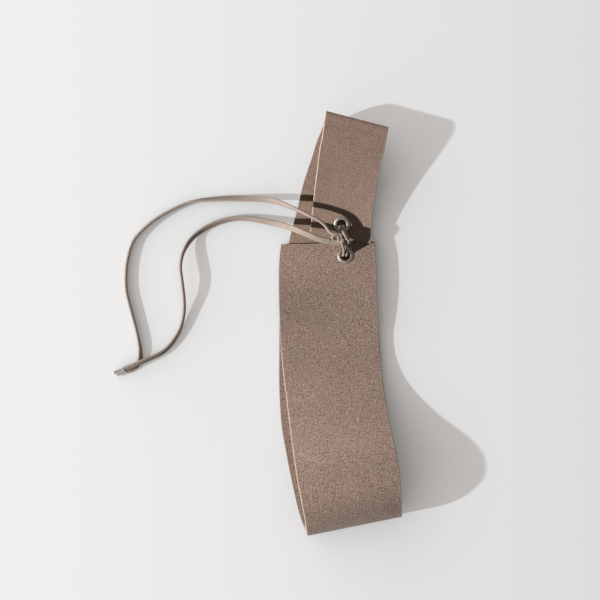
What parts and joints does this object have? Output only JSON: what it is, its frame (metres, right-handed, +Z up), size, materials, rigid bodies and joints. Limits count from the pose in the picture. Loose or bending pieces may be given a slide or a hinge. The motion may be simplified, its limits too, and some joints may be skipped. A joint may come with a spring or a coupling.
{
  "type": "suede waist belt",
  "caption": "Wide tapered suede waist belt lying folded in a loop, its ends drawn together by a flat lace tied through metal eyelets, with loose metal-tipped lace tails.",
  "frame": {"origin": "on the surface under the middle of the belt's own bounding box, without the free lace tails and their metal ends", "axes": "+Z up from the surface the belt lies on, +Y along the belt from its wide fold to its narrow fold, +X away from the lace tails"},
  "size_m": [0.2462, 0.3588, 0.0432],
  "materials": {
    "suede": "napped suede, taupe, matte",
    "lace": "flat braid, pale taupe, matte",
    "eyelet_metal": "satin nickel",
    "aglet_metal": "satin nickel"
  },
  "bodies": {
    "root": {"strap": "suede", "eyelet_upper": "eyelet_metal", "eyelet_lower": "eyelet_metal", "lace_knot": "lace", "lace_tail_long": "lace", "lace_tail_short": "lace", "aglet_long": "aglet_metal", "aglet_short": "aglet_metal"}
  },
  "joints": []
}
